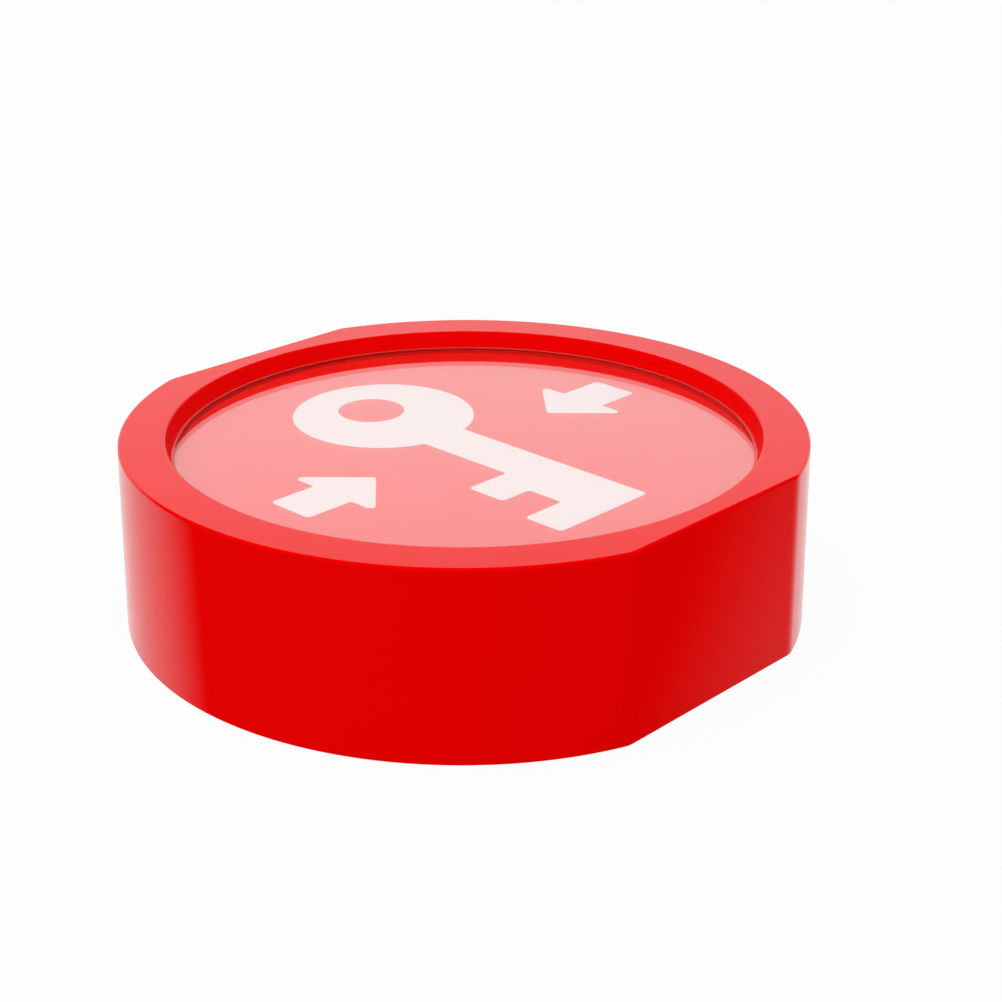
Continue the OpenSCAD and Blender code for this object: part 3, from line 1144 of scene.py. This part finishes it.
@dataclass
class KeyPrint:
    """The print on the card: a bold key between two arrows that point at it.

    Attributes:
        card_top: Height of the card's face.
        ink: Thickness of the print.
        bow_r: Radius of the key's bow.
        eye_r: Radius of the hole in the bow.
        eye_shift: How far that hole lies off the bow's centre, away from the shank.
        bow_x: Place of the bow.
        end_x: Place of the key's tip.
        shank: Half the width of the key's shank.
        bit_y: How far the bit reaches down.
        tooth: Width of a tooth of the bit.
    """

    card_top: float
    ink: float = 0.03
    bow_r: float = 15.0
    eye_r: float = 5.5
    eye_shift: float = 3.0
    bow_x: float = -19.0
    end_x: float = 34.0
    shank: float = 4.5
    bit_y: float = -15.0
    tooth: float = 6.5

    def build(self) -> Piece:
        """Makes the print.

        Returns:
            The print as one thin mesh.
        """
        low, high = self.card_top, self.card_top + self.ink
        eye = arc(self.bow_x - self.eye_shift, self.eye_r, 0, math.tau, 64, ends=0)
        key = slab("label_print_key", [self._key(), eye], low, high)
        combine(key, Cut.JOIN, [slab("arrow", [self._arrow(sign)], low, high) for sign in (1, -1)])
        return key

    def _key(self) -> list[Vector]:
        """Outline of the key: a round bow, a shank and a bit with two teeth.

        Returns:
            Its points.
        """
        meet = math.asin(self.shank / self.bow_r)
        low, notch = self.bit_y, -self.shank - 2.5
        x0, x1, x2 = (self.end_x - share * self.tooth for share in (3.2, 2.1, 1.1))
        shaft = [(0, -self.shank), (x0, -self.shank, 0.5), (x0, low * 0.85, 0.8), (x1, low * 0.85, 0.8),
                 (x1, notch, 0.5), (x2, notch, 0.5), (x2, low, 0.8), (self.end_x, low, 0.8),
                 (self.end_x, self.shank, 0.8), (0, self.shank)]
        return arc(self.bow_x, self.bow_r, meet, math.tau - 2 * meet, 96) + outline(shaft)

    def _arrow(self, sign: int) -> list[Vector]:
        """Outline of a block arrow that points at the key.

        Args:
            sign: 1 for the arrow above the key, -1 for the one below it.

        Returns:
            Its points.
        """
        tip, root, wing, stem, neck = 19.5, 37.0, 9.5, 4.2, 28.5
        half = [(0, tip, 0.6), (wing, neck, 0.8), (stem, neck, 0.5), (stem, root, 0.8)]
        return outline([(x, sign * y, r) for x, y, r in mirrored(half)])


@dataclass
class LockScrew:
    """The set screw that locks the cover to the wall plate.

    Attributes:
        pitch: Pitch of its thread.
        groove: Depth of its thread.
        socket: Width across the flats of the hex socket.
        socket_depth: Depth of the socket.
        tip_bevel: Bevel round the flat tip.
        end_bevel: Bevel round the socket's end.
    """

    shop: Workshop
    pitch: float = 0.7
    groove: float = 0.38
    socket: float = 2.0
    socket_depth: float = 2.4
    tip_bevel: float = 0.4
    end_bevel: float = 0.3

    def build(self) -> None:
        """Builds the screw from its tip to the socket."""
        low, high = box_mm("lock_screw")
        radius, length, steel = (high.y - low.y) / 2, high.x - low.x, BLACK_OXIDE.build()
        place = towards_left_flat("lock_screw", high.x)
        profile = [(0, 0), (radius - self.tip_bevel, 0, 0.05),
                   *thread_run(radius, self.tip_bevel, length - self.end_bevel, self.pitch),
                   (radius - self.end_bevel, length, 0.05), (0, length)]
        screw = self.shop.lathe.turn("lock_set_screw", profile, steel, relief=Relief.THREAD,
                                     depth=self.groove, pitch=self.pitch, matrix=place)
        hexagon = arc(0, self.socket / math.sqrt(3), 0, math.tau, 6, ends=0)
        combine(screw, Cut.REMOVE, [
            slab("hex", [hexagon], length - self.socket_depth, length + SPARE, place)])
        finish_piece(screw, steel, Slot.LOCK_STEEL, Body.LOCK, ["lock_screw"])


@dataclass
class WallPlateAssembly:
    """The plate on the wall, the key hook on it and the hook's two screws.

    Attributes:
        floor: Thickness of the plate's floor.
        rim: Thickness of its rim.
        ring_r: Inner radius of the stiffening ring.
        ring_w: Width of that ring.
        step: How far the ring and the wall screws' pads stand out of the floor.
        wall_hole_r: Radius of a wall screw hole.
        pad_r: Radius of the pads round those holes.
        hook_pad_r: Radius of the pads under the hook.
        hook_pilot_r: Radius of the hook screws' pilot holes.
        hook_hole_r: Radius of the holes in the hook.
        pilot_skin: Height of the pilot holes' closed end over the back.
        post_gap: Gap between the lock screw's tip and its post.
        mark_r: Radius of the ejector pins' marks.
        mark_ring_r: Distance of the marks from the centre.
        strip: Thickness of the hook's strip.
        tongue: Width of the hook's tongue.
        foot: Length of the hook's foot.
        tip: Height of the hook's upturned tip.
        bend: Inner radius of the hook's bends.
    """

    shop: Workshop
    floor: float = 2.5
    rim: float = 1.8
    ring_r: float = 40.0
    ring_w: float = 1.5
    step: float = 1.0
    wall_hole_r: float = 2.25
    pad_r: float = 6.0
    hook_pad_r: float = 4.0
    hook_pilot_r: float = 1.45
    hook_hole_r: float = 1.5
    pilot_skin: float = 0.6
    post_gap: float = 0.05
    mark_r: float = 2.0
    mark_ring_r: float = 34.0
    strip: float = 1.5
    tongue: float = 7.0
    foot: float = 8.0
    tip: float = 8.5
    bend: float = 1.5

    def __post_init__(self) -> None:
        """Reads the sizes that the frame knows."""
        self.high = box_mm("wall_plate")[1]
        self.hook_low, self.hook_high = box_mm("key_hook")
        self.post_x = box_mm("lock_screw")[1].x + self.post_gap
        self.screw_names = ["hook_screw_1", "hook_screw_2"]
        self.screw_spots = spots_mm(self.screw_names)
        pitch = frame["record"]["mounts"][0]["dims"]["spacing_x_mm"]
        self.wall_screws = [(-pitch / 2, 0, 0), (pitch / 2, 0, 0)]

    def build(self) -> None:
        """Builds the plate, the hook and the screws."""
        self.build_plate()
        self.build_hook()
        self.build_hook_screws()

    def build_plate(self) -> None:
        """The moulded plate with its rim, pads, ring, arrow, post and holes."""
        outer, top, floor, raised = self.high.y, self.high.z, self.floor, self.floor + self.step
        inner, ring_out, lean = outer - self.rim, self.ring_r + self.ring_w, 0.1
        profile = [
            (0, floor), (self.ring_r, floor, 0.3), (self.ring_r + lean, raised, 0.3),
            (ring_out - lean, raised, 0.3), (ring_out, floor, 0.3), (inner, floor, 0.4, FLAT),
            (inner, top, 0.3, FLAT), (outer, top, 0.3, FLAT), (outer, 0, 0.2, FLAT), (0, 0)]
        pegs, edges = self.shop.pegs, (0.25, 0)
        plate = self.shop.lathe.turn("wall_plate_moulding", profile, self.shop.matt_abs, columns=720,
                                     softness=0.2)
        combine(plate, Cut.JOIN, [
            pegs("pad", self.wall_screws, self.pad_r, raised, floor / 2, edges=edges),
            pegs("hook_pad", self.screw_spots, self.hook_pad_r, self.hook_low.z - SKIN, floor / 2,
                 edges=edges),
            self._arrow(), self._post(), self._gussets()])
        combine(plate, Cut.REMOVE, [
            self._notch(), self._wall_holes(),
            pegs("hook_hole", self.screw_spots, self.hook_pilot_r, self.pilot_skin,
                 self.hook_low.z + SPARE, cones=(0.4, 0), columns=64), self._ejector_marks()])
        finish_piece(plate, self.shop.matt_abs, Slot.INNER_ABS, Body.BASE, ["wall_plate"])

    def _arrow(self) -> Piece:
        """The raised arrow that points up.

        Returns:
            The arrow.
        """
        half = [(0, 5, 0.3), (5, -1, 0.3), (1.8, -1, 0.2), (1.8, -5, 0.3)]
        return soften(slab("arrow", [outline(mirrored(half), 3)], self.floor / 2, self.floor + 0.5,
                           Matrix.Translation((0, -30, 0))), 0.12)

    def _post(self) -> Piece:
        """The post that the lock screw bears on.

        Returns:
            The post.
        """
        width, half, edge = 4, 6, 0.4
        around = rectangle(self.post_x, self.post_x + width, -half, half, edge, 4)
        return soften(slab("post", [around], self.floor / 2, self.high.z), 0.2)

    def _gussets(self) -> Piece:
        """The two ribs behind the post.

        Returns:
            The ribs.
        """
        root, top = self.post_x + 3, self.high.z - 0.2
        toe, low, half, aside = root + 7, self.floor / 2, 1, 4.95
        side = outline([(root, low), (toe, low), (toe, self.floor), (root + 1, top, 0.5), (root, top)])
        rib = soften(slab("gusset", [side], -half, half, Matrix.Rotation(math.pi / 2, 4, "X")), 0.15)
        return self.shop.jig.repeat("gussets", rib, [(0, -aside, 0), (0, aside, 0)])

    def _notch(self) -> Piece:
        """The cutter of the rim's notch, which clears the cover's boss.

        Returns:
            The cutter.
        """
        outside, half = self.high.x + SPARE, 5.1
        inside = self.high.x - self.rim - 0.5
        return slab("notch", [rectangle(-outside, -inside, -half, half)], self.floor + SKIN,
                    self.high.z + SPARE)

    def _wall_holes(self) -> Piece:
        """The cutters of the wall screw holes, bevelled at both ends.

        Returns:
            The cutters.
        """
        hole, bevel, top = self.wall_hole_r, 0.3, self.floor + self.step
        mouth = hole + bevel + SPARE
        profile = [(0, -SPARE), (mouth, -SPARE), (hole, bevel), (hole, top - bevel), (mouth, top + SPARE),
                   (0, top + SPARE)]
        return self.shop.jig.repeat("wall_holes", self.shop.lathe.turn("wall_hole", profile),
                                    self.wall_screws)

    def _ejector_marks(self) -> Piece:
        """The cutters of the shallow round marks that the mould's ejector pins leave in the floor."""
        ring = arc(0, self.mark_ring_r, math.radians(30), math.tau, 6, ends=0)
        return self.shop.pegs("mark", [(*point, 0) for point in ring], self.mark_r, self.floor - 0.12,
                              self.floor + 0.3, columns=64)

    def build_hook(self) -> None:
        """The bent strip: a foot with two holes, and a tongue with an upturned tip."""
        low, high, t, edge = self.hook_low, self.hook_high, self.strip, 0.5
        bottom, outer_bend = low.y, self.bend + self.strip
        top = bottom + self.foot + outer_bend
        middle, tip, half = top - self.foot / 2, bottom + self.tip, (high.x - low.x) / 2
        side = outline([
            (middle, low.z), (bottom, low.z, outer_bend), (bottom, high.z, outer_bend),
            (tip, high.z, edge), (tip, high.z - t, edge), (bottom + t, high.z - t, self.bend),
            (bottom + t, low.z + t, self.bend), (middle, low.z + t)], 10)
        lay = Matrix(((0, 0, 1, 0), (1, 0, 0, 0), (0, 1, 0, 0), (0, 0, 0, 1)))
        tongue = slab("tongue", [side], -self.tongue / 2, self.tongue / 2, lay)
        around = rectangle(-half, half, top - self.foot, top, t)
        hook = slab("key_hook_strip", [around], low.z, low.z + t)
        combine(hook, Cut.JOIN, [tongue])
        combine(hook, Cut.REMOVE, [self.shop.pegs(
            "hole", self.screw_spots, self.hook_hole_r, low.z - SPARE, low.z + t + SPARE, columns=64)])
        soften(hook, 0.15)
        finish_piece(hook, self.shop.zinc, Slot.PLATED_STEEL, Body.BASE, ["key_hook"])

    def build_hook_screws(self) -> None:
        """The two pan-head screws of the hook."""
        low, high = box_mm(self.screw_names[0])
        seat, shank_r, pitch = self.hook_low.z + self.strip, 1.4, 1.1
        screw = self.shop.pan_screw(shank_r, seat - low.z, pitch, (high.x - low.x) / 2, high.z - seat)
        screws = self.shop.jig.repeat("hook_screws", screw, [(s.x, s.y, seat) for s in self.screw_spots],
                                      [(0, 0, 35), (0, 0, 70)], self.shop.zinc)
        finish_piece(screws, self.shop.zinc, Slot.PLATED_STEEL, Body.BASE, self.screw_names)


# Studio


@dataclass
class Studio:
    """The pale floor, the soft light and the camera.

    Attributes:
        azimuth: Angle of the camera round the box in degrees; 0 looks along +Y.
        elevation: Its height over the horizon in degrees.
        roll: Its roll in degrees.
        distance: Distance to the middle of the box.
        across: How far the middle lies to the right of the view's axis.
        above: How far it lies above that axis.
        focal: Focal length in pixels of the photograph.
        room: Strength of the room's light on the box.
        lamp: Power of the soft lamp in watts.
        lamp_size: Width of the lamp.
        lamp_place: Where it hangs.
        floor_half: Half the side of the floor.
        glow: Share of plain white in what the camera sees of the floor; the rest keeps the shadow.
    """

    azimuth: float = 43.39
    elevation: float = 23.09
    roll: float = -0.20
    distance: float = 312.0
    across: float = -5.76
    above: float = -1.50
    focal: float = 1921.8
    room: float = 0.8
    lamp: float = 1.6
    lamp_size: float = 700.0
    lamp_place: tuple[float, float, float] = (0, -330, 680)
    floor_half: float = 3000.0
    glow: float = 0.95

    def build(self) -> None:
        """Makes the floor, the world, the lamp and the camera."""
        self.build_world()
        self.build_floor()
        self.build_lamp()
        self.build_camera()
        bpy.context.scene.view_settings.view_transform = "Standard"

    def _seen(self, tree: Tree) -> Socket:
        """Tells the rays from the camera, from a reflection or through glass.

        Args:
            tree: The material's or the world's tree.

        Returns:
            1 for such a ray, else 0.
        """
        path = add(tree, "ShaderNodeLightPath").outputs
        seen = path["Is Camera Ray"]
        for ray in ("Is Glossy Ray", "Is Transmission Ray"):
            seen = add(tree, "ShaderNodeMath", {0: seen, 1: path[ray]}, operation="MAXIMUM").outputs[0]
        return seen

    def build_world(self) -> None:
        """A white room, seen at full white and lighting the box at the room's strength."""
        world = bpy.data.worlds.new("studio_room")
        bpy.context.scene.world = world
        world.use_nodes = True
        tree = world.node_tree
        strength = add(tree, "ShaderNodeMapRange", {
            "Value": self._seen(tree), "To Min": self.room, "To Max": 1.0})
        tree.links.new(strength.outputs["Result"], tree.nodes["Background"].inputs["Strength"])
        tree.nodes["Background"].inputs["Color"].default_value = linear("#ffffff")

    def build_floor(self) -> None:
        """A pale matt floor that fades to white for the camera and keeps the box's shadow."""
        half, depth = self.floor_half, 20.0
        floor = slab("floor", [rectangle(-half, half, -half, half)], -depth, 0.0)
        material = bpy.data.materials.new("floor_matt_white")
        material.use_nodes = True
        tree = material.node_tree
        shader = tree.nodes["Principled BSDF"]
        shader.inputs["Base Color"].default_value = linear("#d4d4d4")
        shader.inputs["Roughness"].default_value = 0.9
        glow = add(tree, "ShaderNodeEmission", {"Color": linear("#ffffff"), "Strength": 1.0})
        share = add(tree, "ShaderNodeMath", {0: self._seen(tree), 1: self.glow}, operation="MULTIPLY")
        mixed = add(tree, "ShaderNodeMixShader", {
            0: share.outputs[0], 1: shader.outputs[0], 2: glow.outputs[0]})
        tree.links.new(mixed.outputs[0], tree.nodes["Material Output"].inputs["Surface"])
        floor.data.materials.append(material)

    def build_lamp(self) -> None:
        """One large soft lamp, high over the camera's left."""
        light = bpy.data.lights.new("soft_lamp", "AREA")
        light.shape, light.size, light.energy = "DISK", self.lamp_size * MM, self.lamp
        place = Vector(self.lamp_place) * MM
        facing = (-place).to_track_quat("-Z", "Y").to_matrix().to_4x4()
        self._set_up("soft_lamp", light, Matrix.Translation(place) @ facing)

    def build_camera(self) -> None:
        """The camera at the photograph's viewing angle."""
        turn, rise, roll = (math.radians(a) for a in (self.azimuth, self.elevation, self.roll))
        facing = (Matrix.Rotation(turn, 4, "Z") @ Matrix.Rotation(math.pi / 2 - rise, 4, "X")
                  @ Matrix.Rotation(-roll, 4, "Z"))
        middle = Vector((0, 0, (CAD_BOX[0].z + CAD_BOX[1].z) / 2 / MM))
        place = middle + facing @ Vector((-self.across, -self.above, self.distance))
        data = bpy.data.cameras.new("photo_camera")
        data.sensor_width = SENSOR
        data.lens = self.focal / IMAGE_SIDE * SENSOR
        data.clip_start, data.clip_end = 10 * MM, 20.0
        bpy.context.scene.camera = self._set_up(
            "photo_camera", data, Matrix.Translation(place * MM) @ facing)

    def _set_up(self, name: str, data: bpy.types.ID, place: Matrix) -> Piece:
        """Puts a lamp or a camera in the scene.

        Args:
            name: The object's name.
            data: The lamp or the camera.
            place: Its place and turn, in metres.

        Returns:
            The object.
        """
        thing = bpy.data.objects.new(name, data)
        bpy.context.scene.collection.objects.link(thing)
        thing.matrix_world = place
        return thing


def main() -> None:
    """Builds the studio and every piece of the box."""
    logging.basicConfig(level=logging.INFO, format="%(name)s: %(message)s")
    Studio().build()
    shop = Workshop()
    CoverAssembly(shop).build()
    LockScrew(shop).build()
    WallPlateAssembly(shop).build()


if __name__ == "__main__":
    main()
